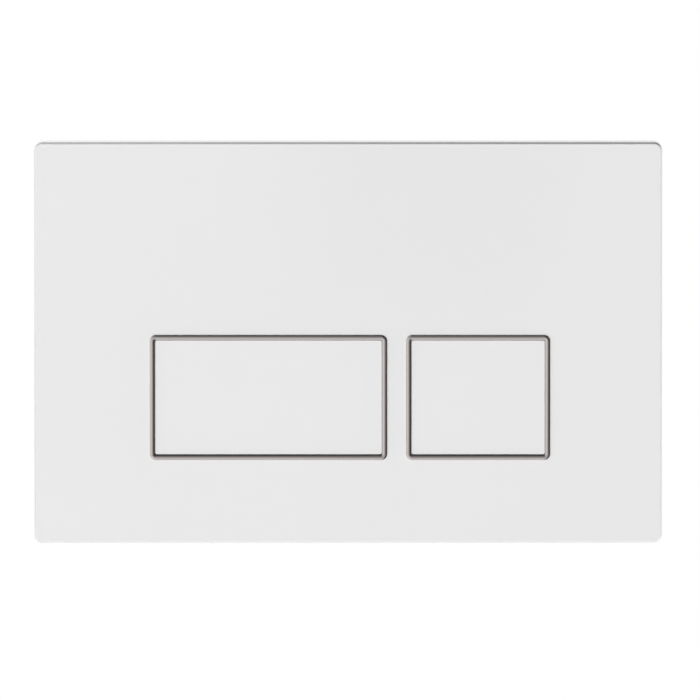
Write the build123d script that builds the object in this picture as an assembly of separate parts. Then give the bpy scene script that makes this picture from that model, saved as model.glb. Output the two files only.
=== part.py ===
from build123d import *

import os
from dataclasses import dataclass
from math import radians, tan

# Flush button plate for a concealed cistern, in millimetres.
# +Z is up, the front looks along -Y and the finished wall is the plane y = 0.
# The origin lies on the wall, behind the middle of the plate.

# Face plate, an open-backed moulding
plate_width = 250.0
plate_height = 160.0
plate_depth = 13.0
plate_corner_radius = 3.3
face_edge_flank = 1.2
face_edge_flank_draft = 24.0
face_edge_shoulder = 0.15
face_edge_shoulder_draft = 60.0
face_skin = 2.2
rim_wall = 2.0

# Stiffening ribs behind the face
face_rib_thickness = 1.2
face_rib_depth = 3.0
face_rib_heights = (-62.0, 30.0, 54.0)
upper_rib_offset = 45.0
side_rib_gap = 4.0

# Buttons: the wide one gives the full flush, the narrow one the half flush
full_button_width = 90.3
half_button_width = 53.1
button_height = 45.5
button_corner_radius = 0.7
button_gap = 0.12
button_swing_room = 0.15
cap_skin = 2.0
cap_wall = 1.4
cap_edge_chamfer = 0.1
group_offset_x = 0.7
group_centre_z = -21.7

# Bezels, plated trim rings that snap into the face plate's windows
bezel_ring_width = 2.0
bezel_spacing = 7.56
bezel_corner_radius = 2.4
bezel_flank = 0.6
bezel_flank_draft = 18.0
bezel_shoulder = 0.35
bezel_shoulder_draft = 54.0
bezel_lip = 0.9
bezel_depth = 4.8
window_clearance = 0.1
bezel_tab_width = 6.0
bezel_tab_spacing = 30.0
bezel_tab_catch = 0.7

# Rockers, the levers behind the caps
rest_gap = 0.3
flange_lap = 1.3
flange_thickness = 1.8
rocker_rib_depth = 1.9
rocker_rib_thickness = 1.4
locating_wall = 1.2
locating_depth = 2.4
cap_fit = 0.15
press_ridge_radius = 2.5
press_ridge_length = 12.0

# Cap hooks, which clip through slots in the rocker
cap_hook_inset = 8.0
cap_hook_offset_z = 12.0
cap_hook_width = 6.0
cap_hook_thickness = 1.2
cap_hook_barb = 0.9
cap_hook_flex_room = 1.0
hook_slot_clearance = 0.3
snap_clearance = 0.05

# Hinges
pin_radius = 1.0
pin_fit = 0.02
pin_running_clearance = 0.05
pin_overhang = 1.0
barrel_radius = 2.1
barrel_clearance = 0.3
barrel_length = 10.0
barrel_inset = 14.0
barrel_end_gap = 0.25
lug_wall = 1.7
lug_thickness = 3.0
hinge_rise = 6.63

# Push rods with screwed heads, and their guides
contact_gap = 0.3
head_across_flats = 12.0
head_length = 3.0
head_neck_across_flats = 8.4
head_neck_length = 6.0
head_bore_clearance = 0.03
head_floor = 2.5
rod_radius = 3.0
rod_rear_y = 75.0
rod_tip_radius = 2.5
rod_tip_length = 12.0
guide_flange_size = 15.0
guide_flange_thickness = 2.0
guide_body_size = 9.6
guide_overhang = 0.5
guide_fit = 0.05
rod_running_clearance = 0.05

# Return springs, bowed steel strips between the rod heads and the bridge
spring_thickness = 0.6
spring_width = 12.0
spring_crown = 14.0
spring_span = 42.0
spring_foot = 5.0
spring_bend_radius = 2.0
spring_hole_clearance = 0.3
spring_end_gap = 0.2

# Mounting frame with a bridge recessed into the wall
frame_margin = 5.0
frame_corner_radius = 6.0
opening_margin = 5.3
opening_side_gap = 7.58
bridge_front_y = 14.0
bridge_height = 20.0
bridge_web = 3.0
bridge_depth = 8.0
bridge_rib = 2.5
bridge_bend_radius = 4.0
bridge_root = 0.5
guide_boss_wall = 3.0
relief_width = 12.0
relief_length = 24.0
relief_offset_z = 36.0

# Snap hooks and stand-off posts between the face plate and the frame
plate_hook_offset_x = 60.0
plate_hook_width = 12.0
plate_hook_thickness = 1.6
plate_hook_barb = 1.2
plate_hook_gap = 0.3
plate_hook_wall_gap = 0.5
hook_pocket_depth = 2.2
hook_pocket_clearance = 1.0
post_size = 6.0
post_inset_x = 10.0
post_inset_z = 11.0

# Fixing studs with plate washers and nuts
stud_front_radius = 2.5
stud_rear_radius = 3.0
stud_rear_y = 60.0
stud_slot_width = 1.0
stud_slot_depth = 1.2
stud_overhang = 0.5
stud_face_gap = 0.6
stud_hole_clearance = 0.2
collar_across_flats = 9.5
collar_thickness = 1.8
collar_clearance = 0.2
washer_size = 16.0
washer_thickness = 1.2
nut_across_flats = 13.0
nut_thickness = 4.5
nut_thread_clearance = 0.02

# Depths, counted from the wall plane: negative is in front of the wall
front_y = -plate_depth
skin_back_y = front_y + face_skin
bezel_back_y = front_y + bezel_depth
flange_front_y = bezel_back_y + rest_gap
flange_back_y = flange_front_y + flange_thickness
rocker_back_y = flange_back_y + rocker_rib_depth
cap_inner_y = front_y + cap_skin
hinge_y = skin_back_y + barrel_clearance + barrel_radius
head_tip_y = rocker_back_y + contact_gap
head_back_y = head_tip_y + head_length
head_neck_y = head_back_y + head_neck_length
rod_front_y = head_tip_y + head_floor + head_bore_clearance
guide_front_y = bridge_front_y - guide_flange_thickness
bridge_back_y = bridge_front_y + bridge_depth
guide_back_y = bridge_back_y + guide_overhang
stud_front_y = skin_back_y + stud_face_gap
nut_front_y = stud_front_y + stud_overhang
washer_front_y = nut_front_y + nut_thickness
frame_front_y = washer_front_y + washer_thickness
collar_back_y = -collar_clearance
collar_front_y = collar_back_y - collar_thickness

# Heights and widths that several pieces share
bezel_band = button_gap + bezel_ring_width
bezel_height = button_height + button_swing_room + 2 * bezel_band
bezel_centre_z = group_centre_z - button_swing_room / 2
full_bezel_width = full_button_width + 2 * bezel_band
half_bezel_width = half_button_width + 2 * bezel_band
group_width = full_bezel_width + bezel_spacing + half_bezel_width
group_left_x = group_offset_x - group_width / 2
full_centre_x = group_left_x + full_bezel_width / 2
half_centre_x = group_left_x + group_width - half_bezel_width / 2
divider_x = group_left_x + full_bezel_width + bezel_spacing / 2
hinge_z = bezel_centre_z + bezel_height / 2 + hinge_rise
flange_height = button_height + 2 * flange_lap
flange_top_z = group_centre_z + flange_height / 2
frame_width = plate_width - 2 * (rim_wall + frame_margin)
frame_height = plate_height - 2 * (rim_wall + frame_margin)
opening_width = group_width + 2 * (abs(group_offset_x) + opening_side_gap)
opening_height = bezel_height + 2 * (abs(group_centre_z) + opening_margin)
stud_x = (frame_width + opening_width) / 4
side_rib_x = stud_x - washer_size / 2 - side_rib_gap


@dataclass
class Button:
    """One flush button: its name, the cap's width and its centre."""

    name: str
    width: float
    centre_x: float


BUTTONS = (
    Button("full_flush", full_button_width, full_centre_x),
    Button("half_flush", half_button_width, half_centre_x),
)
SIDES = {"left": -1, "right": 1}
CAP_HOOKS = [(side, group_centre_z + end * cap_hook_offset_z) for side in (-1, 1) for end in (-1, 1)]


def slab(profile, y_front, y_back):
    """Extrude an X-Z profile from y_front back to y_back."""
    return extrude(Plane.XZ.offset(-y_front) * profile, amount=y_front - y_back)


def bar(profile, x_from, x_to):
    """Extrude a Y-Z profile from x_from to x_to."""
    return extrude(Plane.YZ.offset(x_from) * profile, amount=x_to - x_from)


def rounded_front(outline, base_y, bands):
    """Bands that rise from base_y towards the front, each drawn in by its draft angle."""
    front = Part()
    inset = 0.0
    for rise, draft in bands:
        front += extrude(Plane.XZ.offset(-base_y) * outline(inset), amount=rise, taper=draft)
        inset += rise * tan(radians(draft))
        base_y -= rise
    return front


def outline_of(points):
    """A flat profile through the given corners, kept where the corners are."""
    return make_face(Polyline(*points, close=True))


def hexagon(across_flats):
    """A hexagonal profile of the given width across its flats."""
    return RegularPolygon(across_flats / 2, 6, major_radius=False)


def barrel_offset(button):
    """Distance of a hinge barrel from the middle of its button."""
    return button.width / 2 - barrel_inset


def lug_start(button):
    """Distance of a hinge lug's inner face from the middle of its button."""
    return barrel_offset(button) + barrel_length / 2 + barrel_end_gap


def window_outline(button, inset):
    """The square-cornered window under a bezel in X-Z, set in from the bezel's outer edge."""
    window = Rectangle(button.width + 2 * (bezel_band - inset), bezel_height - 2 * inset)
    return Pos(button.centre_x, bezel_centre_z) * window


def button_outline(button, grow, radius, room=0.0):
    """The cap's outline in X-Z, grown on every side, with more room below it."""
    shape = RectangleRounded(button.width + 2 * grow, button_height + room + 2 * grow, radius)
    return Pos(button.centre_x, group_centre_z - room / 2) * shape


def plate_outline(inset):
    """The face plate's outline in X-Z, drawn in by the given amount."""
    width = plate_width - 2 * inset
    height = plate_height - 2 * inset
    return RectangleRounded(width, height, plate_corner_radius - inset)


def stand_off_posts():
    """Posts behind the four corners of the face, which rest on the frame."""
    spread_x = frame_width - 2 * post_inset_x
    spread_z = frame_height - 2 * post_inset_z
    posts = Sketch() + GridLocations(spread_x, spread_z, 2, 2) * Rectangle(post_size, post_size)
    return slab(posts, skin_back_y, frame_front_y)


def plate_hook(x, side):
    """A snap hook over the frame's upper or lower edge."""
    arm_z = frame_height / 2 + plate_hook_gap
    tip_y = -plate_hook_wall_gap
    barb_y = plate_hook_gap - hook_pocket_depth
    profile = outline_of([
        (skin_back_y, side * arm_z),
        (barb_y, side * arm_z),
        (barb_y, side * (arm_z - plate_hook_barb)),
        (tip_y, side * arm_z),
        (tip_y, side * (arm_z + plate_hook_thickness)),
        (skin_back_y, side * (arm_z + plate_hook_thickness)),
    ])
    return bar(profile, x - plate_hook_width / 2, x + plate_hook_width / 2)


def face_ribs():
    """Ribs across the face, beside the fixings, between the buttons and above them."""
    inner_width = plate_width - 2 * rim_wall
    inner_height = plate_height - 2 * rim_wall
    inner_top_z = inner_height / 2
    low_z, mid_z, _ = face_rib_heights
    profile = Rectangle(face_rib_thickness, inner_height)
    sketch = Pos(-side_rib_x, 0) * profile + Pos(side_rib_x, 0) * profile
    for z in face_rib_heights:
        sketch += Pos(0, z) * Rectangle(inner_width, face_rib_thickness)
    sketch += Pos(divider_x, (low_z + mid_z) / 2) * Rectangle(face_rib_thickness, mid_z - low_z)
    for x in (-upper_rib_offset, upper_rib_offset):
        upper = Rectangle(face_rib_thickness, inner_top_z - mid_z)
        sketch += Pos(x, (inner_top_z + mid_z) / 2) * upper
    return slab(sketch, skin_back_y, skin_back_y + face_rib_depth)


def hinge_lugs(button):
    """The pair of lugs behind the face that carries one button's hinge pin."""
    half_height = pin_radius + lug_wall
    lug_back_y = hinge_y + half_height
    block = Rectangle(lug_back_y - skin_back_y, 2 * half_height)
    profile = Pos((skin_back_y + lug_back_y) / 2, hinge_z) * block
    profile -= Pos(hinge_y, hinge_z) * Circle(pin_radius + pin_fit)
    inner = lug_start(button)
    outer = inner + lug_thickness
    right = bar(profile, button.centre_x + inner, button.centre_x + outer)
    left = bar(profile, button.centre_x - outer, button.centre_x - inner)
    return right + left


def face_plate():
    """The moulded cover with its windows, ribs, hinge lugs, posts and snap hooks."""
    edge_y = front_y + face_edge_flank + face_edge_shoulder
    shell = slab(plate_outline(0), edge_y, 0) + rounded_front(plate_outline, edge_y, (
        (face_edge_flank, face_edge_flank_draft),
        (face_edge_shoulder, face_edge_shoulder_draft),
    ))
    hollow = Rectangle(plate_width - 2 * rim_wall, plate_height - 2 * rim_wall)
    shell -= slab(hollow, skin_back_y, 0)
    shell += face_ribs() + stand_off_posts()
    for button in BUTTONS:
        shell -= slab(window_outline(button, bezel_lip), front_y, skin_back_y)
        shell += hinge_lugs(button)
    for x in (-plate_hook_offset_x, plate_hook_offset_x):
        for side in (-1, 1):
            shell += plate_hook(x, side)
    return shell


def bezel_crown(button):
    """The rounded front of a bezel, which stands on the face."""
    def outline(inset):
        outer_corner = bezel_corner_radius - inset
        inner_corner = button_corner_radius + button_gap + inset
        outer = button_outline(button, bezel_band - inset, outer_corner, button_swing_room)
        return outer - button_outline(button, button_gap + inset, inner_corner, button_swing_room)

    return rounded_front(outline, front_y, (
        (bezel_flank, bezel_flank_draft),
        (bezel_shoulder, bezel_shoulder_draft),
    ))


def bezel(button):
    """A rounded trim ring on a sleeve, with snap tabs above and below."""
    mouth_corner = button_corner_radius + button_gap
    mouth = button_outline(button, button_gap, mouth_corner, button_swing_room)
    inset = bezel_lip + window_clearance
    ring = bezel_crown(button) + slab(window_outline(button, inset) - mouth, front_y, bezel_back_y)
    wall_z = bezel_height / 2 - inset
    root_z = wall_z - (bezel_ring_width - inset) / 2
    catch_y = skin_back_y + snap_clearance
    tab_count = round(button.width / bezel_tab_spacing)
    for side in (-1, 1):
        tab = outline_of([
            (catch_y, bezel_centre_z + side * root_z),
            (catch_y, bezel_centre_z + side * (wall_z + bezel_tab_catch)),
            (bezel_back_y, bezel_centre_z + side * wall_z),
            (bezel_back_y, bezel_centre_z + side * root_z),
        ])
        for place in range(tab_count):
            x = button.centre_x + (place - (tab_count - 1) / 2) * bezel_tab_spacing
            ring += bar(tab, x - bezel_tab_width / 2, x + bezel_tab_width / 2)
    return ring


def cap(button):
    """The visible button: a shallow cap with a skirt and four hooks."""
    shell = slab(button_outline(button, 0, button_corner_radius), front_y, flange_front_y)
    shell = chamfer(shell.faces().sort_by(Axis.Y)[0].edges(), cap_edge_chamfer)
    hollow = Rectangle(button.width - 2 * cap_wall, button_height - 2 * cap_wall)
    shell -= slab(Pos(button.centre_x, group_centre_z) * hollow, cap_inner_y, flange_front_y)
    barb_y = flange_back_y + snap_clearance
    outer = button.width / 2 - cap_hook_inset
    inner = outer - cap_hook_thickness
    for side, z in CAP_HOOKS:
        profile = outline_of([
            (side * inner, cap_inner_y),
            (side * outer, cap_inner_y),
            (side * outer, barb_y),
            (side * (outer + cap_hook_barb), barb_y),
            (side * outer, rocker_back_y),
            (side * inner, rocker_back_y),
        ])
        base = Plane.XY.offset(z - cap_hook_width / 2) * Pos(button.centre_x, 0)
        shell += extrude(base * profile, amount=cap_hook_width)
    return shell


def rocker(button):
    """The lever behind a cap: flange, ribs, press ridge and two hinge barrels."""
    centre = Pos(button.centre_x, group_centre_z)
    width = button.width + 2 * flange_lap
    flange = Rectangle(width, flange_height)
    core = Rectangle(width - 2 * rocker_rib_thickness, flange_height - 2 * rocker_rib_thickness)
    body = slab(centre * flange, flange_front_y, flange_back_y)

    locating_width = button.width - 2 * (cap_wall + cap_fit)
    locating_height = button_height - 2 * (cap_wall + cap_fit)
    locating = Rectangle(locating_width, locating_height)
    locating -= Rectangle(locating_width - 2 * locating_wall, locating_height - 2 * locating_wall)
    body += slab(centre * locating, flange_front_y - locating_depth, flange_front_y)

    ribs = flange - core + Rectangle(width, rocker_rib_thickness)
    offset = barrel_offset(button)
    ribs += Pos(-offset, 0) * Rectangle(rocker_rib_thickness, flange_height)
    ribs += Pos(offset, 0) * Rectangle(rocker_rib_thickness, flange_height)
    body += slab(centre * ribs, flange_back_y, rocker_back_y)
    ridge = Pos(rocker_back_y - press_ridge_radius, group_centre_z) * Circle(press_ridge_radius)
    ridge &= Pos((flange_front_y + rocker_back_y) / 2, group_centre_z) * Rectangle(
        rocker_back_y - flange_front_y, 2 * press_ridge_radius)
    ridge_from = button.centre_x - press_ridge_length / 2
    body += bar(ridge, ridge_from, ridge_from + press_ridge_length)

    arm_root_z = flange_top_z - rocker_rib_thickness
    arm = Rectangle(barrel_length, hinge_z - arm_root_z)
    axis_at = Pos(hinge_y, hinge_z)
    bore = pin_radius + pin_running_clearance
    for x in (button.centre_x - offset, button.centre_x + offset):
        body += slab(Pos(x, (hinge_z + arm_root_z) / 2) * arm, flange_front_y, flange_back_y)
        body += bar(axis_at * Circle(barrel_radius), x - barrel_length / 2, x + barrel_length / 2)
        body -= bar(axis_at * Circle(bore), x - barrel_length / 2, x + barrel_length / 2)

    slot_outer = button.width / 2 - cap_hook_inset + hook_slot_clearance
    slot_inner = slot_outer - cap_hook_thickness - hook_slot_clearance - cap_hook_flex_room
    slot = Rectangle(slot_outer - slot_inner, cap_hook_width + 2 * hook_slot_clearance)
    for side, z in CAP_HOOKS:
        x = button.centre_x + side * (slot_outer + slot_inner) / 2
        body -= slab(Pos(x, z) * slot, flange_front_y, flange_back_y)
    return body


def hinge_pin(button):
    """A steel pin through both lugs and both barrels."""
    reach = lug_start(button) + lug_thickness + pin_overhang
    section = Pos(hinge_y, hinge_z) * Circle(pin_radius)
    return bar(section, button.centre_x - reach, button.centre_x + reach)


def push_rod(button):
    """A straight rod with a reduced tip for the flush valve."""
    shoulder_y = rod_rear_y - rod_tip_length
    place = Pos(button.centre_x, group_centre_z)
    rod = slab(place * Circle(rod_radius), rod_front_y, shoulder_y)
    return rod + slab(place * Circle(rod_tip_radius), shoulder_y, rod_rear_y)


def rod_head(button):
    """The hexagonal head that screws on a rod and sets its length."""
    place = Pos(button.centre_x, group_centre_z)
    head = slab(place * hexagon(head_across_flats), head_tip_y, head_back_y)
    head += slab(place * hexagon(head_neck_across_flats), head_back_y, head_neck_y)
    bore = Circle(rod_radius + head_bore_clearance)
    return head - slab(place * bore, head_tip_y + head_floor, head_neck_y)


def rod_guide(button):
    """A square snap-in bush in the bridge."""
    place = Pos(button.centre_x, group_centre_z)
    guide = slab(place * Rectangle(guide_flange_size, guide_flange_size), guide_front_y, bridge_front_y)
    guide += slab(place * Rectangle(guide_body_size, guide_body_size), bridge_front_y, guide_back_y)
    bore = Circle(rod_radius + rod_running_clearance)
    return guide - slab(place * bore, guide_front_y, guide_back_y)


def rod_spring(button):
    """A bowed strip: its crown lies under the rod's head and its feet on the bridge."""
    crown_y = head_back_y + spring_end_gap + spring_thickness / 2
    foot_y = bridge_front_y - spring_end_gap - spring_thickness / 2
    knee = spring_span / 2 - spring_foot
    line = FilletPolyline(
        (-spring_span / 2, foot_y),
        (-knee, foot_y),
        (-spring_crown / 2, crown_y),
        (spring_crown / 2, crown_y),
        (knee, foot_y),
        (spring_span / 2, foot_y),
        radius=spring_bend_radius,
    )
    strip = trace(line, spring_thickness)
    low_z = group_centre_z - spring_width / 2
    spring = extrude(Plane.XY.offset(low_z) * Pos(button.centre_x, 0) * strip, amount=spring_width)
    hole = hexagon(head_neck_across_flats + 2 * spring_hole_clearance)
    return spring - slab(Pos(button.centre_x, group_centre_z) * hole, head_back_y, head_neck_y)


def frame_bridge():
    """The bridge behind the opening: two legs, a web with ribs and the guide bosses."""
    end_x = opening_width / 2
    leg_x = end_x - bridge_web
    web_back_y = bridge_front_y + bridge_web
    band = outline_of([
        (-end_x - bridge_root, frame_front_y),
        (-leg_x, frame_front_y),
        (-leg_x, bridge_front_y),
        (leg_x, bridge_front_y),
        (leg_x, frame_front_y),
        (end_x + bridge_root, frame_front_y),
        (end_x + bridge_root, web_back_y),
        (-end_x - bridge_root, web_back_y),
    ])
    band = fillet(band.vertices().group_by(Axis.Y)[1], bridge_bend_radius)
    band = fillet(band.vertices().group_by(Axis.Y)[-1], bridge_bend_radius)
    low_z = group_centre_z - bridge_height / 2
    bridge = extrude(Plane.XY.offset(low_z) * band, amount=bridge_height)
    rib_z = (bridge_height - bridge_rib) / 2
    for z in (group_centre_z - rib_z, group_centre_z + rib_z):
        rib = Pos(0, z) * Rectangle(2 * leg_x, bridge_rib)
        bridge += slab(rib, bridge_front_y, bridge_back_y)
    for button in BUTTONS:
        boss_size = guide_body_size + 2 * (guide_fit + guide_boss_wall)
        boss = Pos(button.centre_x, group_centre_z) * Rectangle(boss_size, boss_size)
        bridge += slab(boss, bridge_front_y, bridge_back_y)
    return bridge


def mounting_frame():
    """The frame that is fixed to the wall and carries the face plate and the rods."""
    ring = RectangleRounded(frame_width, frame_height, frame_corner_radius)
    ring -= Rectangle(opening_width, opening_height)
    relief = Rectangle(relief_width, relief_length)
    ring -= GridLocations(2 * stud_x, 2 * relief_offset_z, 2, 2) * relief
    frame = slab(ring, frame_front_y, 0) + frame_bridge()
    hole_size = guide_body_size + 2 * guide_fit
    for button in BUTTONS:
        hole = Pos(button.centre_x, group_centre_z) * Rectangle(hole_size, hole_size)
        frame -= slab(hole, bridge_front_y, bridge_back_y)
    pocket = hexagon(collar_across_flats + 2 * collar_clearance)
    for side in SIDES.values():
        place = Pos(side * stud_x, 0)
        frame -= slab(place * Circle(stud_front_radius + stud_hole_clearance), frame_front_y, 0)
        frame -= slab(place * pocket, collar_front_y, 0)
    pocket_width = plate_hook_width + 2 * hook_pocket_clearance
    pocket_height = 2 * (plate_hook_barb + hook_pocket_clearance)
    catch = Rectangle(pocket_width, pocket_height)
    pockets = Sketch() + GridLocations(2 * plate_hook_offset_x, frame_height, 2, 2) * catch
    return frame - slab(pockets, -hook_pocket_depth, 0)


def fixing_stud(side):
    """A stepped stud: a nut thread in front, a hexagonal collar and the wall thread."""
    place = Pos(side * stud_x, 0)
    slot = Rectangle(2 * stud_front_radius, stud_slot_width)
    stud = slab(place * Circle(stud_front_radius), stud_front_y, collar_front_y)
    stud += slab(place * hexagon(collar_across_flats), collar_front_y, collar_back_y)
    stud += slab(place * Circle(stud_rear_radius), collar_back_y, stud_rear_y)
    return stud - slab(place * slot, stud_front_y, stud_front_y + stud_slot_depth)


def fixing_washer(side):
    """A square plate washer between the nut and the frame."""
    profile = Rectangle(washer_size, washer_size) - Circle(stud_front_radius + stud_hole_clearance)
    return slab(Pos(side * stud_x, 0) * profile, washer_front_y, frame_front_y)


def fixing_nut(side):
    """A hexagonal nut on the stud's front thread."""
    profile = hexagon(nut_across_flats) - Circle(stud_front_radius + nut_thread_clearance)
    return slab(Pos(side * stud_x, 0) * profile, nut_front_y, washer_front_y)


def all_parts():
    """Every sub-part by name."""
    parts = {"face_plate": face_plate(), "mounting_frame": mounting_frame()}
    for button in BUTTONS:
        parts[f"{button.name}_bezel"] = bezel(button)
        parts[f"{button.name}_cap"] = cap(button)
        parts[f"{button.name}_rocker"] = rocker(button)
        parts[f"{button.name}_hinge_pin"] = hinge_pin(button)
        parts[f"{button.name}_rod"] = push_rod(button)
        parts[f"{button.name}_rod_head"] = rod_head(button)
        parts[f"{button.name}_rod_guide"] = rod_guide(button)
        parts[f"{button.name}_spring"] = rod_spring(button)
    for name, side in SIDES.items():
        parts[f"{name}_fixing_stud"] = fixing_stud(side)
        parts[f"{name}_fixing_washer"] = fixing_washer(side)
        parts[f"{name}_fixing_nut"] = fixing_nut(side)
    return parts


os.makedirs("parts", exist_ok=True)
for node, solid in all_parts().items():
    export_step(solid, f"parts/{node}.step")
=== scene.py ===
"""Flush button plate for a concealed cistern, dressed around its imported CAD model."""

from math import atan2, cos, pi, radians, sin, tan

import bmesh
import bpy
from bpy.props import FloatProperty, FloatVectorProperty, IntProperty, PointerProperty
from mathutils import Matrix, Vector


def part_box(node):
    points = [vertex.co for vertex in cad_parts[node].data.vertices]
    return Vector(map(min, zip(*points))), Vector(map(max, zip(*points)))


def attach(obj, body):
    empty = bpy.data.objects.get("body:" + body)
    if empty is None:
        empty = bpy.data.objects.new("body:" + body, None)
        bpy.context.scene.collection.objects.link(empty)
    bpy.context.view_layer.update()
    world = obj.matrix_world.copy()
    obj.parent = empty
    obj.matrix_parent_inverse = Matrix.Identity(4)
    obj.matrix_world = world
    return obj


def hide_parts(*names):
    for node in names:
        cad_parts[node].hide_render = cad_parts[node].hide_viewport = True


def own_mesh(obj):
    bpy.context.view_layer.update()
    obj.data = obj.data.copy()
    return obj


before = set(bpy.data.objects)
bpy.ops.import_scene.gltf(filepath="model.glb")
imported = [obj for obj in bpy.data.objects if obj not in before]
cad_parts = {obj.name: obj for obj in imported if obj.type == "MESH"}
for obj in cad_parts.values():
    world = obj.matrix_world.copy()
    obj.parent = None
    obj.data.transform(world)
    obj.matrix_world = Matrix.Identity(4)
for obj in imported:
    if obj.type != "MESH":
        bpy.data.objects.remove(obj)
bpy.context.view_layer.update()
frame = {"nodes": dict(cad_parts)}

bl_info = {
    "name": "Flush Button Plate",
    "version": (1, 0, 0),
    "blender": (4, 5, 0),
    "location": "3D View > Sidebar > Flush Plate",
    "description": "Models a wall flush plate with hinged buttons, push rods and fixings",
    "category": "Add Mesh",
}

MM = 0.001
NODES = frame["nodes"]
BUTTONS = ("full_flush", "half_flush")

# Distances below which vertices are joined, cuts meet a vertex, and places count as equal
SAME = 0.001 * MM
CUT_NEAR = 0.0001 * MM
NEAR = 0.1 * MM
# How far a cutting tool or an added part reaches past the cut
PAST = 1.0 * MM
# Least part of a face's normal along an axis with which it faces that way
FACING = 0.9

# Angles in degrees up to which neighbouring triangles lie in one face, and from which edges are rounded
FLAT_UP_TO = 0.5
ROUNDED_FROM = 20
ROUNDED_FROM_ON_TURNED = 40
ROUNDED_FROM_ON_STRIP = 50
# Angles in degrees up to which edges are shaded smooth
SMOOTH_UP_TO = 40
SMOOTH_UP_TO_ON_NUT = 25
# Faces across a rounded edge, a bend and an end corner of the spring strip, and around a cylinder
EDGE_STEPS = 2
BEND_STEPS = 8
END_STEPS = 6
ROUND_SIDES = 48
TURNED_SIDES = 64

# Thread depth as a share of the pitch, and end chamfer as a share of the depth
THREAD_DEPTH = 0.6
THREAD_CHAMFER = 0.8
# Steps of a thread's profile, outwards in depths and onwards in pitches, and steps around one turn
THREAD_PROFILE = ((0, 0.1), (1, 0.35), (0, 0.15), (-1, 0.4))
THREAD_STEPS = 24
# Turns by which a thread is longer at each end until it is trimmed, and room around it in its trimming tool
THREAD_SPARE = 2
THREAD_ROOM = 0.02 * MM
# How deep a stud's threads start inside its collar
THREAD_ROOT = 0.3 * MM
# Radius of the turned blank and chamfer of a nut, as shares of its width across the flats
NUT_BLANK = 0.6
NUT_CHAMFER = 0.13

# Place and size of each softbox, in metres
SOFTBOXES = {
    "key_light": ((-0.3, -2.76, -0.96), 2.2),
    "rim_light": ((0.5, 2.8, 0.8), 2.0),
    "side_light": ((2.4, 0.3, -0.9), 1.5),
    "edge_light": ((-0.16, 0.04, 0.22), 0.06),
}
# Place, width and height of the black card that the face mirrors, in metres
CARD_PLACE = (0.04, -1.213, -0.0189)
CARD_SIZE = (0.1177, 0.1295)
# Sides and radius of the floor and the distances over which it fades out, in metres
FLOOR_SIDES = 96
FLOOR_RADIUS = 1.2
FLOOR_FADE = {"From Min": 0.5, "From Max": 1.15}
# Glow of the floor on the plate and to the camera
FLOOR_GLOW = {"To Min": 0.1, "To Max": 0.5}
# Directions in which the studio and its side panel turn dark, and how far along them they do so
STUDIO_SLOPE = (0.75, 0.25, 0.5)
STUDIO_FADE = {"From Min": -0.9, "From Max": 0.5}
PANEL_SLOPE = (0.9, 0.4, -0.15)
PANEL_FADE = {"From Min": 0.15, "From Max": 0.45}
# How far round behind the plate the lit wall begins, and how high up it ends
WALL_FADE = {"From Min": 0.15, "From Max": 0.6}
WALL_TOP_FADE = {"From Min": 0.2, "From Max": 0.5, "To Min": 1.0, "To Max": 0.0}
# Colours of the studio's light and backdrop, and of the card
WHITE = (1, 1, 1, 1)
BLACK = (0, 0, 0, 1)


def linear(hex_colour):
    """Turn an sRGB hex colour into linear red, green and blue."""
    channels = [int(hex_colour[i:i + 2], 16) / 255 for i in (1, 3, 5)]
    return [c / 12.92 if c <= 0.04045 else ((c + 0.055) / 1.055) ** 2.4 for c in channels]


def size_prop(name, description, default_mm):
    """A length that the user can change, given in millimetres."""
    return FloatProperty(name=name, description=description, default=default_mm * MM,
                         min=0.0, precision=5, unit="LENGTH", subtype="DISTANCE")


def colour_prop(name, description, hex_colour):
    """A colour that the user can change."""
    return FloatVectorProperty(name=name, description=description, default=linear(hex_colour),
                               size=3, min=0.0, max=1.0, subtype="COLOR")


def light_prop(name, description, default, subtype="NONE"):
    """A brightness or power that the user can change."""
    return FloatProperty(name=name, description=description, default=default, min=0.0, subtype=subtype)


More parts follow.
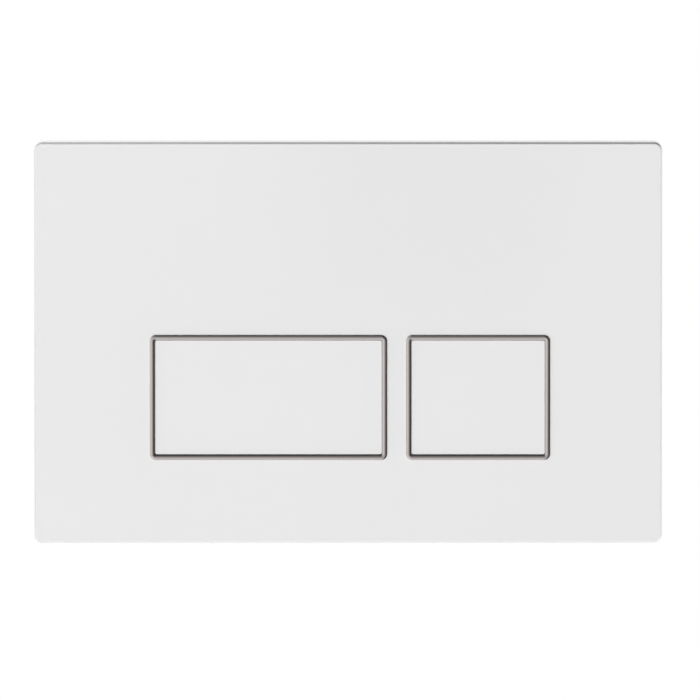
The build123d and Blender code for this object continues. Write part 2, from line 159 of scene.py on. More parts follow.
class FlushPlateSizes(bpy.types.PropertyGroup):
    """Sizes of the modelled details"""

    moulded_edge: size_prop("Moulded edge", "Rounding of the frame's and the rods' edges", 0.2)
    fine_edge: size_prop("Fine edge", "Rounding of the cover's and the lever parts' edges", 0.1)
    cap_edge: size_prop("Cap edge", "Rounding of the button caps' edges", 0.06)
    washer_edge: size_prop("Washer edge", "Rounding of the washers' edges", 0.15)
    pin_edge: size_prop("Pin edge", "Rounding of the hinge pins' ends", 0.3)
    crown_height: size_prop("Crown height", "Height of the trim rings above the face", 0.95)
    crown_steps: IntProperty(name="Crown steps", description="Faces across a trim ring", default=16, min=6)
    crown_arch: size_prop("Crown arch", "Rise of the trim rings' arched top", 0.48)
    ring_width: size_prop("Ring width", "Width of the trim rings", 2.0)
    ring_corner: size_prop("Ring corner", "Outer corner radius of the trim rings", 2.4)
    corner_steps: IntProperty(name="Corner steps", description="Faces around a trim ring's corner",
                              default=14, min=4)
    ring_lip: size_prop("Ring lip", "Part of the trim ring that lies on the face", 1.0)
    tab_width: size_prop("Tab width", "Width of a trim ring's snap tab", 6.0)
    tab_spacing: size_prop("Tab spacing", "Distance between snap tabs", 30.0)
    tab_catch: size_prop("Tab catch", "Reach of a snap tab behind the face", 0.7)
    tab_room: size_prop("Tab room", "Room between a snap tab and the face's skin", 0.05)
    face_skin: size_prop("Face skin", "Thickness of the face plate's skin", 2.2)
    strip_thickness: size_prop("Strip thickness", "Thickness of the spring strip", 0.6)
    strip_crown: size_prop("Strip crown", "Length of the spring's flat crown", 14.0)
    strip_foot: size_prop("Strip foot", "Length of each of the spring's feet", 5.0)
    strip_bend: size_prop("Strip bend", "Bend radius of the spring strip", 2.0)
    strip_corner: size_prop("Strip corner", "Corner radius at the spring's ends", 1.5)
    strip_edge: size_prop("Strip edge", "Rounding of the spring strip's edges", 0.075)
    neck_flats: size_prop("Neck flats", "Width across the flats of a rod head's neck", 8.4)
    neck_room: size_prop("Neck room", "Room around a rod head's neck in its spring", 0.3)
    rod_thread_pitch: size_prop("Rod thread pitch", "Pitch of the rods' setting thread", 1.0)
    rod_thread_end: size_prop("Rod thread end", "Depth at which the rods' thread ends", 10.0)
    rod_thread_room: size_prop("Rod thread room", "Room around a rod's thread in its head", 0.03)
    wall_thread_radius: size_prop("Wall thread radius", "Radius of the studs' rear thread", 3.0)
    wall_thread_pitch: size_prop("Wall thread pitch", "Pitch of the studs' rear thread", 1.0)
    nut_thread_radius: size_prop("Nut thread radius", "Radius of the studs' front thread", 2.5)
    nut_thread_pitch: size_prop("Nut thread pitch", "Pitch of the studs' front thread", 0.8)
    nut_hole: size_prop("Nut hole", "Radius of the nuts' holes", 2.52)
    collar_front: size_prop("Collar front", "Distance of a stud's collar's front from the wall", 2.0)
    collar_back: size_prop("Collar back", "Distance of a stud's collar's back from the wall", 0.2)
    slot_width: size_prop("Slot width", "Width of a stud's driver slot", 1.0)
    slot_depth: size_prop("Slot depth", "Depth of a stud's driver slot", 1.2)


class FlushPlateColours(bpy.types.PropertyGroup):
    """Colours of the materials"""

    cover: colour_prop("Cover", "White of the face plate and the buttons", "#E9E9E9")
    trim: colour_prop("Trim", "Tint of the plated trim rings", "#D6CFCD")
    frame: colour_prop("Frame", "Grey of the mounting frame", "#8C9093")
    lever: colour_prop("Lever", "Off-white of the levers, heads and guides", "#D9D8D2")
    rod: colour_prop("Rod", "Dark grey of the push rods", "#4A4D50")
    zinc: colour_prop("Zinc", "Grey of the zinc-coated steel", "#B4B7B9")
    spring: colour_prop("Spring", "Grey of the spring steel", "#8F9193")


class FlushPlateStage(bpy.types.PropertyGroup):
    """Camera, floor and light"""

    distance: FloatProperty(name="Distance", description="Distance of the camera", default=6.8,
                            min=0.1, unit="LENGTH", subtype="DISTANCE")
    elevation: FloatProperty(name="Elevation", description="Height angle of the camera",
                             default=radians(4.4), subtype="ANGLE")
    view_width: size_prop("View width", "Width of the picture at the face", 278.7)
    aim_right: size_prop("Aim right", "Aim of the camera to the right of the middle", 0.72)
    aim_drop: size_prop("Aim drop", "Aim of the camera below the middle", 2.78)
    floor_drop: size_prop("Floor drop", "Floor below the wall plate's middle", 300.0)
    studio_light: light_prop("Studio light", "Brightness below and to the left", 0.86)
    studio_dark: light_prop("Studio dark", "Brightness above and to the right", 0.06)
    back_light: light_prop("Back light", "Brightness behind the plate", 0.95)
    key_light: light_prop("Key light", "Power of the front light", 66.8, "POWER")
    rim_light: light_prop("Rim light", "Power of the light from behind", 20.0, "POWER")
    side_light: light_prop("Side light", "Power of the light on the right side", 40.0, "POWER")
    edge_light: light_prop("Edge light", "Power of the light on the top edge's left end", 0.11, "POWER")
    floor_colour: colour_prop("Floor", "Colour of the floor", "#F4F4F4")


# Selecting and shaping


def take(piece):
    """Make a piece the only selected and active object."""
    if bpy.context.mode != "OBJECT":
        bpy.ops.object.mode_set(mode="OBJECT")
    bpy.ops.object.select_all(action="DESELECT")
    piece.select_set(True)
    bpy.context.view_layer.objects.active = piece


def edit(piece):
    """Open a piece for editing with all of it selected."""
    take(piece)
    bpy.ops.object.mode_set(mode="EDIT")
    bpy.ops.mesh.select_mode(type="VERT")
    bpy.ops.mesh.select_all(action="SELECT")


def close_edit():
    """Turn all faces outwards and leave edit mode."""
    bpy.ops.mesh.select_all(action="SELECT")
    bpy.ops.mesh.normals_make_consistent(inside=False)
    bpy.ops.object.mode_set(mode="OBJECT")


def pick(kind, test):
    """Select in edit mode the VERT, EDGE or FACE elements that pass a test."""
    bpy.ops.mesh.select_mode(type=kind)
    bpy.ops.mesh.select_all(action="DESELECT")
    mesh = bmesh.from_edit_mesh(bpy.context.object.data)
    elements = {"VERT": mesh.verts, "EDGE": mesh.edges, "FACE": mesh.faces}[kind]
    for element in elements:
        if test(element):
            element.select_set(True)
    mesh.select_flush_mode()
    bmesh.update_edit_mesh(bpy.context.object.data)


def span(edge, axis):
    """How far an edge runs along the x, y or z axis."""
    start, end = (getattr(vertex.co, axis) for vertex in edge.verts)
    return abs(start - end)


def push_out(step):
    """Extrude what is selected by a step."""
    bpy.ops.mesh.extrude_region_move(TRANSFORM_OT_translate={"value": step})


def settle():
    """Move the active object's place and turn into its mesh."""
    bpy.ops.object.transform_apply(location=True, rotation=True, scale=True)
    return bpy.context.object


def block(low, high):
    """Add a block between two corners."""
    low, high = Vector(low), Vector(high)
    bpy.ops.mesh.primitive_cube_add(size=1, location=(low + high) / 2, scale=high - low)
    return settle()


def prism(sides, radius, centre, y_from, y_to, turn=0.0):
    """Add a prism or cylinder along Y between two depths."""
    middle = (centre.x, (y_from + y_to) / 2, centre.z)
    bpy.ops.mesh.primitive_cylinder_add(vertices=sides, radius=radius, depth=y_to - y_from,
                                        location=middle, rotation=(pi / 2, turn, 0))
    return settle()


def hexagon(flats, centre, y_from, y_to):
    """Add a hexagonal prism along Y with flats above and below."""
    return prism(6, flats / 2 / cos(pi / 6), centre, y_from, y_to, pi / 6)


def with_modifier(piece, kind, **settings):
    """Add a modifier with its settings and apply it."""
    take(piece)
    bpy.ops.object.modifier_add(type=kind)
    modifier = piece.modifiers[-1]
    for name, value in settings.items():
        setattr(modifier, name, value)
    bpy.ops.object.modifier_apply(modifier=modifier.name)
    return piece


def combine(piece, tool, operation):
    """Join, cut or trim a piece with a second solid, which is used up."""
    with_modifier(piece, "BOOLEAN", operation=operation, object=tool, solver="MANIFOLD")
    take(tool)
    bpy.ops.object.delete()


def round_edges(piece, width, sharp_from):
    """Round the edges that turn by more than an angle."""
    with_modifier(piece, "BEVEL", width=width, segments=EDGE_STEPS, limit_method="ANGLE",
                  angle_limit=radians(sharp_from), use_clamp_overlap=False)


def smooth(piece, angle=SMOOTH_UP_TO):
    """Shade a piece smooth except at edges sharper than the angle, with flat faces kept flat."""
    take(piece)
    bpy.ops.object.shade_smooth_by_angle(angle=radians(angle))
    return with_modifier(piece, "WEIGHTED_NORMAL", keep_sharp=True)


def copy_of(piece, step):
    """Copy a piece with its own mesh and move the copy by a step."""
    take(piece)
    bpy.ops.object.duplicate(linked=False)
    bpy.ops.transform.translate(value=step)
    return settle()


def moulded_copy(node, edge, sharp_from=ROUNDED_FROM):
    """Copy a node's solid, join its triangles into whole faces and round its edges."""
    piece = bpy.data.objects.new("moulding", NODES[node].data.copy())
    bpy.context.scene.collection.objects.link(piece)
    edit(piece)
    bpy.ops.mesh.remove_doubles(threshold=SAME)
    bpy.ops.mesh.dissolve_limited(angle_limit=radians(FLAT_UP_TO))
    bpy.ops.object.mode_set(mode="OBJECT")
    round_edges(piece, edge, sharp_from)
    return smooth(piece)


def hand_over(piece, name, node, body, material):
    """Name a finished piece, give it its material and put it in its node's place."""
    piece.name = name
    piece.data.name = name
    piece.data.materials.clear()
    piece.data.materials.append(material)
    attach(piece, body)
    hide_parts(node)


def centre_of(node):
    """Middle of a node's box."""
    low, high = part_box(node)
    return (low + high) / 2


# Materials


def add_node(tree, kind, values=None, links=None, **settings):
    """Add a node with its settings, its socket values and the sockets that feed it."""
    node = tree.nodes.new(kind)
    for name, value in settings.items():
        setattr(node, name, value)
    for socket, value in (values or {}).items():
        node.inputs[socket].default_value = value
    for socket, source in (links or {}).items():
        tree.links.new(source, node.inputs[socket])
    return node


def new_material(name, **values):
    """A new material with its shader's constant values."""
    material = bpy.data.materials.new(name)
    material.use_nodes = True
    tree = material.node_tree
    shader = tree.nodes["Principled BSDF"]
    for socket, value in values.items():
        shader.inputs[socket.replace("_", " ")].default_value = value
    return material, tree, shader


def shade(colour, share=1.0):
    """A share of a colour, with the fourth channel that shaders take."""
    return (*[min(1.0, share * channel) for channel in colour], 1)


def polished_abs():
    """Moulded ABS with a polished face: an even white with a clear gloss and a faint ripple."""
    colour = bpy.context.scene.flush_colours.cover
    material, tree, shader = new_material("polished_white_abs", IOR=1.54)
    coordinates = add_node(tree, "ShaderNodeTexCoord")
    place = coordinates.outputs["Object"]
    # Flow of the melt leaves patches some 60 mm wide that differ by a shade.
    patches = add_node(tree, "ShaderNodeTexNoise", {"Scale": 1 / (60 * MM), "Detail": 1.0}, {"Vector": place})
    tone = add_node(tree, "ShaderNodeMixRGB", {"Color1": shade(colour, 0.985), "Color2": shade(colour)},
                    {"Fac": patches.outputs["Fac"]})
    tree.links.new(tone.outputs["Color"], shader.inputs["Base Color"])
    # The mould's face is polished and its core isn't, so only the back is satin.
    facing = add_node(tree, "ShaderNodeSeparateXYZ", links={"Vector": coordinates.outputs["Normal"]})
    gloss = add_node(tree, "ShaderNodeMapRange",
                     {"From Min": 0.2, "From Max": 0.6, "To Min": 0.1, "To Max": 0.42},
                     {"Value": facing.outputs["Y"]})
    tree.links.new(gloss.outputs["Result"], shader.inputs["Roughness"])
    # A polished moulding has a slight ripple, some 4 mm from crest to crest.
    ripple = add_node(tree, "ShaderNodeTexNoise", {"Scale": 1 / (4 * MM), "Detail": 2.0}, {"Vector": place})
    bump = add_node(tree, "ShaderNodeBump", {"Strength": 0.05, "Distance": 0.02 * MM},
                    {"Height": ripple.outputs["Fac"]})
    tree.links.new(bump.outputs["Normal"], shader.inputs["Normal"])
    return material


def chrome_plating():
    """Bright chrome over plastic: a sharp dark and light mirror with a hint of haze."""
    colour = bpy.context.scene.flush_colours.trim
    material, tree, shader = new_material("chrome_plating", Metallic=1.0, Base_Color=shade(colour))
    place = add_node(tree, "ShaderNodeTexCoord").outputs["Object"]
    # The haze lies in specks some 3 mm wide.
    haze = add_node(tree, "ShaderNodeTexNoise", {"Scale": 1 / (3 * MM), "Detail": 3.0}, {"Vector": place})
    rough = add_node(tree, "ShaderNodeMapRange", {"To Min": 0.07, "To Max": 0.12},
                     {"Value": haze.outputs["Fac"]})
    tree.links.new(rough.outputs["Result"], shader.inputs["Roughness"])
    return material


def textured_plastic(name, colour, roughness, grain_width, grain_depth):
    """Technical plastic with a spark-eroded or drawn skin: an even matt colour with a fine grain."""
    material, tree, shader = new_material(name, IOR=1.5)
    place = add_node(tree, "ShaderNodeTexCoord").outputs["Object"]
    # The colourant leaves faint clouds some 25 mm wide.
    clouds = add_node(tree, "ShaderNodeTexNoise", {"Scale": 1 / (25 * MM), "Detail": 2.0}, {"Vector": place})
    tone = add_node(tree, "ShaderNodeMixRGB", {"Color1": shade(colour, 0.9), "Color2": shade(colour, 1.06)},
                    {"Fac": clouds.outputs["Fac"]})
    tree.links.new(tone.outputs["Color"], shader.inputs["Base Color"])
    grain = add_node(tree, "ShaderNodeTexNoise", {"Scale": 1 / grain_width, "Detail": 3.0}, {"Vector": place})
    smoothest, roughest = roughness
    rough = add_node(tree, "ShaderNodeMapRange", {"To Min": smoothest, "To Max": roughest},
                     {"Value": grain.outputs["Fac"]})
    tree.links.new(rough.outputs["Result"], shader.inputs["Roughness"])
    bump = add_node(tree, "ShaderNodeBump", {"Strength": 0.3, "Distance": grain_depth},
                    {"Height": grain.outputs["Fac"]})
    tree.links.new(bump.outputs["Normal"], shader.inputs["Normal"])
    return material


def drawn_steel(name, colour, roughness, stretch):
    """Steel with a drawn grain: a soft metal shine with fine lines along the piece."""
    material, tree, shader = new_material(name, Metallic=1.0)
    place = add_node(tree, "ShaderNodeTexCoord").outputs["Object"]
    along = add_node(tree, "ShaderNodeMapping", {"Scale": stretch}, {"Vector": place})
    # Drawing lines are finer than this; 0.4 mm is the finest that shows.
    lines = add_node(tree, "ShaderNodeTexNoise", {"Scale": 1 / (0.4 * MM), "Detail": 2.0},
                     {"Vector": along.outputs["Vector"]})
    tone = add_node(tree, "ShaderNodeMixRGB", {"Color1": shade(colour, 0.86), "Color2": shade(colour)},
                    {"Fac": lines.outputs["Fac"]})
    tree.links.new(tone.outputs["Color"], shader.inputs["Base Color"])
    smoothest, roughest = roughness
    rough = add_node(tree, "ShaderNodeMapRange", {"To Min": smoothest, "To Max": roughest},
                     {"Value": lines.outputs["Fac"]})
    tree.links.new(rough.outputs["Result"], shader.inputs["Roughness"])
    return material


# Pieces


class FLUSH_OT_cover(bpy.types.Operator):
    """Model the face plate and the two button caps"""

    bl_idname = "flush.cover"
    bl_label = "Cover and Buttons"

    def execute(self, context):
        sizes = context.scene.flush_sizes
        material = polished_abs()
        piece = moulded_copy("face_plate", sizes.fine_edge)
        hand_over(piece, "face_moulding", "face_plate", "plate", material)
        for button in BUTTONS:
            node = f"{button}_cap"
            piece = moulded_copy(node, sizes.cap_edge)
            hand_over(piece, f"{button}_button_cap", node, f"{button}_button", material)
        return {"FINISHED"}


class FLUSH_OT_trim_rings(bpy.types.Operator):
    """Model the half-round plated rings around the buttons"""

    bl_idname = "flush.trim_rings"
    bl_label = "Trim Rings"

    def ring(self, node, sizes):
        """A half-round ring on a sleeve, built up from its outline."""
        low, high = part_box(node)
        face_y = low.y + sizes.crown_height
        rise = sizes.crown_height - sizes.crown_arch
        piece = block((low.x, face_y, low.z), high)
        edit(piece)
        pick("EDGE", lambda e: span(e, "y") > NEAR)
        bpy.ops.mesh.bevel(offset=sizes.ring_corner, segments=sizes.corner_steps, affect="EDGES")
        pick("FACE", lambda f: f.normal.y > -FACING)
        bpy.ops.mesh.delete(type="FACE")
        bpy.ops.mesh.select_all(action="SELECT")
        bpy.ops.mesh.inset(thickness=0.0, depth=rise)
        # The arch is a circle's segment, taken in equal turns from one edge to the other.
        slope = 2 * atan2(2 * sizes.crown_arch, sizes.ring_width)
        radius = sizes.ring_width / 2 / sin(slope)
        for step in range(sizes.crown_steps):
            before = slope * (2 * step / sizes.crown_steps - 1)
            after = slope * (2 * (step + 1) / sizes.crown_steps - 1)
            bpy.ops.mesh.inset(thickness=radius * (sin(after) - sin(before)),
                               depth=radius * (cos(after) - cos(before)))
        push_out((0, high.y - face_y + rise, 0))
        bpy.ops.mesh.delete(type="ONLY_FACE")
        pick("EDGE", lambda e: e.is_boundary and e.verts[0].co.y < face_y + NEAR)
        bpy.ops.mesh.edge_face_add()
        bpy.ops.mesh.inset(thickness=sizes.ring_lip, depth=0.0)
        push_out((0, high.y - face_y, 0))
        bpy.ops.mesh.delete(type="ONLY_FACE")
        pick("EDGE", lambda e: e.is_boundary)
        bpy.ops.mesh.bridge_edge_loops()
        close_edit()
        return piece

    def tab(self, x, wall_z, side, sizes, catch_y, back_y):
        """A wedge-shaped snap tab above or below a ring."""
        root_z = wall_z - side * (sizes.ring_width - sizes.ring_lip) / 2
        tip_z = wall_z + side * sizes.tab_catch
        piece = block((x - sizes.tab_width / 2, catch_y, min(root_z, tip_z)),
                      (x + sizes.tab_width / 2, back_y, max(root_z, tip_z)))
        edit(piece)
        pick("VERT", lambda v: v.co.y > back_y - NEAR and side * (v.co.z - wall_z) > NEAR)
        bpy.ops.transform.translate(value=(0, 0, -side * sizes.tab_catch))
        close_edit()
        return piece

    def execute(self, context):
        sizes = context.scene.flush_sizes
        material = chrome_plating()
        for button in BUTTONS:
            node = f"{button}_bezel"
            low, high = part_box(node)
            cap_low, cap_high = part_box(f"{button}_cap")
            count = round((cap_high.x - cap_low.x) / sizes.tab_spacing)
            catch_y = low.y + sizes.crown_height + sizes.face_skin + sizes.tab_room
            piece = self.ring(node, sizes)
            for side, edge_z in ((-1, low.z), (1, high.z)):
                for place in range(count):
                    x = (low.x + high.x) / 2 + (place - (count - 1) / 2) * sizes.tab_spacing
                    tab = self.tab(x, edge_z - side * sizes.ring_lip, side, sizes, catch_y, high.y)
                    combine(piece, tab, "UNION")
            smooth(piece)
            hand_over(piece, f"{button}_trim_ring", node, "plate", material)
        return {"FINISHED"}


class FLUSH_OT_levers(bpy.types.Operator):
    """Model the rockers, rod heads and rod guides"""

    bl_idname = "flush.levers"
    bl_label = "Rockers, Heads and Guides"

    def execute(self, context):
        sizes = context.scene.flush_sizes
        material = textured_plastic("acetal_off_white", context.scene.flush_colours.lever,
                                    roughness=(0.34, 0.46), grain_width=0.6 * MM, grain_depth=0.02 * MM)
        for button in BUTTONS:
            bodies = {"rocker": f"{button}_button", "rod_head": f"{button}_plunger", "rod_guide": "plate"}
            for part, body in bodies.items():
                node = f"{button}_{part}"
                piece = moulded_copy(node, sizes.fine_edge)
                hand_over(piece, f"{node}_moulding", node, body, material)
        return {"FINISHED"}


class FLUSH_OT_frame(bpy.types.Operator):
    """Model the mounting frame"""

    bl_idname = "flush.frame"
    bl_label = "Mounting Frame"

    def execute(self, context):
        material = textured_plastic("filled_polypropylene_grey", context.scene.flush_colours.frame,
                                    roughness=(0.44, 0.56), grain_width=0.8 * MM, grain_depth=0.05 * MM)
        piece = moulded_copy("mounting_frame", context.scene.flush_sizes.moulded_edge)
        hand_over(piece, "frame_moulding", "mounting_frame", "plate", material)
        return {"FINISHED"}


def screw_thread(radius, pitch, start, length):
    """A screw thread along +Y from a point, with its ends chamfered."""
    depth = THREAD_DEPTH * pitch
    bpy.ops.mesh.primitive_plane_add(size=MM, location=(0, 0, 0))
    piece = bpy.context.object
    edit(piece)
    bpy.ops.mesh.merge(type="CENTER")
    bpy.ops.transform.translate(value=(radius - depth, 0, 0))
    for out, along in THREAD_PROFILE:
        push_out((out * depth, 0, along * pitch))
    bpy.ops.object.mode_set(mode="OBJECT")
    turns = int(length / pitch) + 2 * THREAD_SPARE
    with_modifier(piece, "SCREW", axis="Z", angle=2 * pi, screw_offset=pitch, iterations=turns,
                  steps=THREAD_STEPS, render_steps=THREAD_STEPS)
    edit(piece)
    bpy.ops.mesh.remove_doubles(threshold=SAME)
    # Half a turn stays on at both ends, for the sleeve to take off.
    first_cut = (THREAD_SPARE - 0.5) * pitch
    last_cut = (THREAD_SPARE + 0.5) * pitch + length
    for z, outward in ((first_cut, -1), (last_cut, 1)):
        bpy.ops.mesh.select_all(action="SELECT")
        bpy.ops.mesh.bisect(plane_co=(0, 0, z), plane_no=(0, 0, outward), use_fill=True,
                            clear_outer=True, threshold=CUT_NEAR)
    close_edit()
    bpy.ops.transform.translate(value=(0, 0, -THREAD_SPARE * pitch))
    settle()
    bpy.ops.mesh.primitive_cylinder_add(vertices=ROUND_SIDES, radius=radius + THREAD_ROOM,
                                        depth=length, location=(0, 0, length / 2))
    sleeve = settle()
    edit(sleeve)
    pick("EDGE", lambda e: span(e, "z") < NEAR)
    bpy.ops.mesh.bevel(offset=THREAD_CHAMFER * depth, segments=1, affect="EDGES")
    close_edit()
    combine(piece, sleeve, "INTERSECT")
    piece.rotation_euler = (-pi / 2, 0, 0)
    piece.location = start
    take(piece)
    return settle()


class FLUSH_OT_rods(bpy.types.Operator):
    """Model the push rods with their setting threads"""

    bl_idname = "flush.rods"
    bl_label = "Push Rods"

    def execute(self, context):
        sizes = context.scene.flush_sizes
        material = textured_plastic("drawn_polyamide_grey", context.scene.flush_colours.rod,
                                    roughness=(0.29, 0.41), grain_width=0.5 * MM, grain_depth=0.02 * MM)
        for button in BUTTONS:
            node = f"{button}_rod"
            low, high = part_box(node)
            centre = centre_of(node)
            radius = (high.x - low.x) / 2
            # The rod's plain front gives way to a thread that reaches on into the rest of it.
            piece = moulded_copy(node, sizes.moulded_edge, ROUNDED_FROM_ON_TURNED)
            front = prism(ROUND_SIDES, radius + PAST, centre, low.y - PAST, sizes.rod_thread_end)
            combine(piece, front, "DIFFERENCE")
            thread = screw_thread(radius - sizes.rod_thread_room, sizes.rod_thread_pitch,
                                  (centre.x, low.y, centre.z), sizes.rod_thread_end - low.y + PAST)
            combine(piece, thread, "UNION")
            smooth(piece)
            hand_over(piece, f"{button}_push_rod", node, f"{button}_plunger", material)
        return {"FINISHED"}


class FLUSH_OT_springs(bpy.types.Operator):
    """Model the bowed spring strips and the hinge pins"""

    bl_idname = "flush.springs"
    bl_label = "Springs and Pins"

    def strip(self, node, sizes):
        """A bent strip with a hole for the rod head's neck."""
        low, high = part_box(node)
        centre = centre_of(node)
        half = sizes.strip_thickness / 2
        foot_y, crown_y = high.y - half, low.y + half
        knee = (high.x - low.x) / 2 - sizes.strip_foot
        crown = sizes.strip_crown / 2
        start = (low.x + sizes.strip_foot / 2, foot_y, centre.z)
        bpy.ops.mesh.primitive_plane_add(size=1, location=start, rotation=(pi / 2, 0, 0))
        piece = settle()
        edit(piece)
        bpy.ops.transform.resize(value=(sizes.strip_foot, 1, high.z - low.z), center_override=start)
        end_x = low.x + sizes.strip_foot
        pick("EDGE", lambda e: min(v.co.x for v in e.verts) > end_x - NEAR)
        rise = crown_y - foot_y
        ramp_length = knee - crown
        steps = ((ramp_length, rise), (2 * crown, 0), (ramp_length, -rise), (sizes.strip_foot, 0))
        for along, across in steps:
            push_out((along, across, 0))
        bends = [centre.x + place for place in (-knee, -crown, crown, knee)]
        pick("EDGE", lambda e: span(e, "x") < NEAR and min(abs(e.verts[0].co.x - x) for x in bends) < NEAR)
        turn = atan2(-rise, ramp_length)
        bpy.ops.mesh.bevel(offset=sizes.strip_bend * tan(turn / 2), segments=BEND_STEPS, affect="EDGES")
        pick("VERT", lambda v: min(abs(v.co.x - low.x), abs(v.co.x - high.x)) < NEAR)
        bpy.ops.mesh.bevel(offset=sizes.strip_corner, segments=END_STEPS, affect="VERTICES")
        close_edit()
        with_modifier(piece, "SOLIDIFY", thickness=sizes.strip_thickness, offset=0.0, use_even_offset=True)
        hole = hexagon(sizes.neck_flats + 2 * sizes.neck_room, centre,
                       low.y - PAST, low.y + sizes.strip_thickness + PAST)
        combine(piece, hole, "DIFFERENCE")
        round_edges(piece, sizes.strip_edge, ROUNDED_FROM_ON_STRIP)
        return smooth(piece)

    def execute(self, context):
        sizes = context.scene.flush_sizes
        colours = context.scene.flush_colours
        spring_steel = drawn_steel("stainless_spring_strip", colours.spring,
                                   roughness=(0.21, 0.35), stretch=(0.05, 1, 1))
        pin_steel = drawn_steel("ground_steel_pin", colours.zinc,
                                roughness=(0.18, 0.32), stretch=(0.05, 1, 1))
        for button in BUTTONS:
            node = f"{button}_spring"
            piece = self.strip(node, sizes)
            hand_over(piece, f"{button}_bow_spring", node, "plate", spring_steel)
            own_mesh(piece)
            piece = moulded_copy(f"{button}_hinge_pin", sizes.pin_edge, ROUNDED_FROM_ON_TURNED)
            hand_over(piece, f"{button}_pin", f"{button}_hinge_pin", "plate", pin_steel)
        return {"FINISHED"}


class FLUSH_OT_fixings(bpy.types.Operator):
    """Model the studs, nuts and washers at both sides"""

    bl_idname = "flush.fixings"
    bl_label = "Studs, Nuts and Washers"

    def stud(self, sizes):
        """The left stud: two threads with a hexagonal collar between them and a driver slot."""
        low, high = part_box("left_fixing_stud")
        centre = centre_of("left_fixing_stud")
        collar_front, collar_back = -sizes.collar_front, -sizes.collar_back
        piece = hexagon(high.z - low.z, centre, collar_front, collar_back)
        front = screw_thread(sizes.nut_thread_radius, sizes.nut_thread_pitch, (centre.x, low.y, centre.z),
                             collar_back - low.y - THREAD_ROOT)
        combine(piece, front, "UNION")
        rear_y = collar_front + THREAD_ROOT
        rear = screw_thread(sizes.wall_thread_radius, sizes.wall_thread_pitch, (centre.x, rear_y, centre.z),
                            high.y - rear_y)
        combine(piece, rear, "UNION")
        reach = sizes.nut_thread_radius + PAST
        half = sizes.slot_width / 2
        slot = block((centre.x - reach, low.y - PAST, centre.z - half),
                     (centre.x + reach, low.y + sizes.slot_depth, centre.z + half))
        combine(piece, slot, "DIFFERENCE")
        return smooth(piece)

    def nut(self, sizes):
        """The left nut with its corners turned off at both ends."""
        low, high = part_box("left_fixing_nut")
        centre = centre_of("left_fixing_nut")
        flats = high.z - low.z
        piece = hexagon(flats, centre, low.y, high.y)
        blank = prism(TURNED_SIDES, NUT_BLANK * flats, centre, low.y, high.y)
        edit(blank)
        pick("EDGE", lambda e: span(e, "y") < NEAR)
        bpy.ops.mesh.bevel(offset=NUT_CHAMFER * flats, segments=1, affect="EDGES")
        close_edit()
        combine(piece, blank, "INTERSECT")
        hole = prism(ROUND_SIDES, sizes.nut_hole, centre, low.y - PAST, high.y + PAST)
        combine(piece, hole, "DIFFERENCE")
        return smooth(piece, SMOOTH_UP_TO_ON_NUT)

    def execute(self, context):
        sizes = context.scene.flush_sizes
        material = drawn_steel("zinc_coated_steel", context.scene.flush_colours.zinc,
                               roughness=(0.25, 0.39), stretch=(1, 0.3, 1))
        across = centre_of("right_fixing_stud") - centre_of("left_fixing_stud")
        shapes = {
            "stud": self.stud(sizes),
            "nut": self.nut(sizes),
            "washer": moulded_copy("left_fixing_washer", sizes.washer_edge),
        }
        for part, left in shapes.items():
            right = copy_of(left, across)
            for side, piece in (("left", left), ("right", right)):
                hand_over(piece, f"{side}_steel_{part}", f"{side}_fixing_{part}", "plate", material)
        return {"FINISHED"}


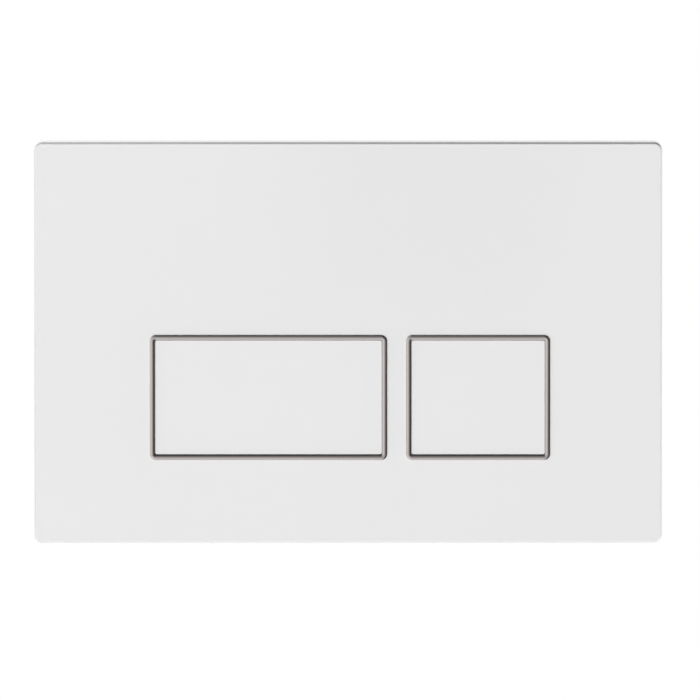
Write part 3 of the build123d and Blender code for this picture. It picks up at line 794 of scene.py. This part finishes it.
class FLUSH_OT_stage(bpy.types.Operator):
    """Set up the floor, the light and the camera"""

    bl_idname = "flush.stage"
    bl_label = "Stage"

    def floor(self, stage):
        """A pale round floor that fades out into the backdrop."""
        bpy.ops.mesh.primitive_circle_add(vertices=FLOOR_SIDES, radius=FLOOR_RADIUS, fill_type="NGON",
                                          location=(0, 0, -stage.floor_drop))
        floor = bpy.context.object
        floor.name = "floor"
        colour = shade(stage.floor_colour)
        material, tree, shader = new_material("pale_floor", Base_Color=colour, Roughness=0.8,
                                              Emission_Color=colour)
        # The floor looks paler than the light that it throws back.
        ray = add_node(tree, "ShaderNodeLightPath")
        glow = add_node(tree, "ShaderNodeMapRange", FLOOR_GLOW, {"Value": ray.outputs["Is Camera Ray"]})
        tree.links.new(glow.outputs["Result"], shader.inputs["Emission Strength"])
        place = add_node(tree, "ShaderNodeTexCoord").outputs["Object"]
        reach = add_node(tree, "ShaderNodeVectorMath", links={0: place}, operation="LENGTH")
        fade = add_node(tree, "ShaderNodeMapRange", FLOOR_FADE, {"Value": reach.outputs["Value"]})
        # It is clear from below, so that the plate's underside can be looked at.
        side = add_node(tree, "ShaderNodeNewGeometry")
        gone = add_node(tree, "ShaderNodeMath", operation="MAXIMUM", links={
            0: fade.outputs["Result"], 1: side.outputs["Backfacing"]})
        clear = add_node(tree, "ShaderNodeBsdfTransparent")
        mix = add_node(tree, "ShaderNodeMixShader", links={
            0: gone.outputs["Value"], 1: shader.outputs["BSDF"], 2: clear.outputs["BSDF"]})
        tree.links.new(mix.outputs["Shader"], tree.nodes["Material Output"].inputs["Surface"])
        floor.data.materials.append(material)
        # The front light comes from below the floor and passes through it.
        floor.visible_shadow = False
        floor.visible_glossy = False

    def softbox(self, name, place, size, power):
        """A square light that faces the plate and that the chrome doesn't mirror."""
        bpy.ops.object.light_add(type="AREA", location=place)
        light = bpy.context.object
        light.name = name
        light.data.energy = power
        light.data.size = size
        light.rotation_euler = (-light.location).to_track_quat("-Z", "Y").to_euler()
        light.visible_glossy = False
        light.visible_camera = False

    def dark_card(self):
        """A black card in front of the plate, which shows as a soft patch in the gloss of its face."""
        bpy.ops.mesh.primitive_plane_add(size=1, location=CARD_PLACE, rotation=(pi / 2, 0, 0))
        card = bpy.context.object
        card.name = "black_card"
        card.scale = (*CARD_SIZE, 1)
        material, _, _ = new_material("black_card", Base_Color=BLACK, Roughness=1.0)
        card.data.materials.append(material)
        card.visible_camera = False
        card.visible_diffuse = False
        card.visible_shadow = False

    def studio(self, scene, stage):
        """Light from all around, dark to the upper right and the right, before a white backdrop."""
        world = bpy.data.worlds.new("white_studio")
        scene.world = world
        world.use_nodes = True
        tree = world.node_tree
        tree.nodes.clear()
        way = add_node(tree, "ShaderNodeTexCoord").outputs["Generated"]
        # The room turns dark towards the upper right, and on its right stands a dark panel.
        rise = add_node(tree, "ShaderNodeVectorMath", {1: STUDIO_SLOPE}, {0: way}, operation="DOT_PRODUCT")
        ahead = add_node(tree, "ShaderNodeMapRange",
                         {**STUDIO_FADE, "To Min": stage.studio_light, "To Max": stage.studio_dark},
                         {"Value": rise.outputs["Value"]}, interpolation_type="SMOOTHSTEP")
        aside = add_node(tree, "ShaderNodeVectorMath", {1: PANEL_SLOPE}, {0: way}, operation="DOT_PRODUCT")
        panel = add_node(tree, "ShaderNodeMapRange", {**PANEL_FADE, "To Max": stage.studio_dark},
                         {"Value": aside.outputs["Value"], "To Min": ahead.outputs["Result"]},
                         interpolation_type="SMOOTHSTEP")
        # A lit wall stands behind the plate.
        axes = add_node(tree, "ShaderNodeSeparateXYZ", links={"Vector": way})
        behind = add_node(tree, "ShaderNodeMapRange", WALL_FADE, {"Value": axes.outputs["Y"]},
                          interpolation_type="SMOOTHSTEP")
        low = add_node(tree, "ShaderNodeMapRange", WALL_TOP_FADE, {"Value": axes.outputs["Z"]},
                       interpolation_type="SMOOTHSTEP")
        wall = add_node(tree, "ShaderNodeMath", operation="MULTIPLY", links={
            0: behind.outputs["Result"], 1: low.outputs["Result"]})
        around = add_node(tree, "ShaderNodeMapRange", {"To Max": stage.back_light},
                          {"Value": wall.outputs["Value"], "To Min": panel.outputs["Result"]})
        light = add_node(tree, "ShaderNodeBackground", {"Color": WHITE},
                         {"Strength": around.outputs["Result"]})
        backdrop = add_node(tree, "ShaderNodeBackground", {"Color": WHITE, "Strength": 1.0})
        # The camera sees a white backdrop all around, and metal mirrors it where the wall stands.
        ray = add_node(tree, "ShaderNodeLightPath")
        mirrored = add_node(tree, "ShaderNodeMath", operation="MAXIMUM", links={
            0: ray.outputs["Is Glossy Ray"], 1: ray.outputs["Is Transmission Ray"]})
        mirrored_wall = add_node(tree, "ShaderNodeMath", operation="MULTIPLY", links={
            0: mirrored.outputs["Value"], 1: wall.outputs["Value"]})
        shown = add_node(tree, "ShaderNodeMath", operation="MAXIMUM", links={
            0: mirrored_wall.outputs["Value"], 1: ray.outputs["Is Camera Ray"]})
        mix = add_node(tree, "ShaderNodeMixShader", links={
            0: shown.outputs["Value"], 1: light.outputs["Background"], 2: backdrop.outputs["Background"]})
        add_node(tree, "ShaderNodeOutputWorld", links={"Surface": mix.outputs["Shader"]})

    def execute(self, context):
        scene = context.scene
        stage = scene.flush_stage
        scene.view_settings.view_transform = "Standard"
        self.floor(stage)
        self.dark_card()
        self.studio(scene, stage)
        for name, (place, size) in SOFTBOXES.items():
            self.softbox(name, place, size, getattr(stage, name))

        low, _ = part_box("face_plate")
        aim = Vector((stage.aim_right, low.y, -stage.aim_drop))
        back = Vector((0, -cos(stage.elevation), sin(stage.elevation)))
        bpy.ops.object.camera_add(location=aim + back * stage.distance)
        camera = context.object
        camera.rotation_euler = (-back).to_track_quat("-Z", "Y").to_euler()
        camera.data.lens = camera.data.sensor_width * stage.distance / stage.view_width
        scene.camera = camera
        return {"FINISHED"}


PIECE_OPERATORS = (
    FLUSH_OT_cover,
    FLUSH_OT_trim_rings,
    FLUSH_OT_levers,
    FLUSH_OT_frame,
    FLUSH_OT_rods,
    FLUSH_OT_springs,
    FLUSH_OT_fixings,
    FLUSH_OT_stage,
)
GROUPS = {
    "flush_sizes": FlushPlateSizes,
    "flush_colours": FlushPlateColours,
    "flush_stage": FlushPlateStage,
}


class FLUSH_PT_panel(bpy.types.Panel):
    """Sidebar panel with the plate's sizes, colours and pieces"""

    bl_idname = "FLUSH_PT_panel"
    bl_label = "Flush Plate"
    bl_space_type = "VIEW_3D"
    bl_region_type = "UI"
    bl_category = "Flush Plate"

    def draw(self, context):
        for name, group in GROUPS.items():
            box = self.layout.box()
            for prop in group.__annotations__:
                box.prop(getattr(context.scene, name), prop)
        for operator in PIECE_OPERATORS:
            self.layout.operator(operator.bl_idname)


CLASSES = (*GROUPS.values(), *PIECE_OPERATORS, FLUSH_PT_panel)


def register():
    """Add the classes, and the settings to the scene."""
    for item in CLASSES:
        bpy.utils.register_class(item)
    for name, group in GROUPS.items():
        setattr(bpy.types.Scene, name, PointerProperty(type=group))


def unregister():
    """Take the settings and the classes away again."""
    for name in GROUPS:
        delattr(bpy.types.Scene, name)
    for item in reversed(CLASSES):
        bpy.utils.unregister_class(item)


def main():
    """Build every piece and the stage."""
    register()
    for operator in PIECE_OPERATORS:
        group, name = operator.bl_idname.split(".")
        getattr(getattr(bpy.ops, group), name)()


if __name__ == "__main__":
    main()
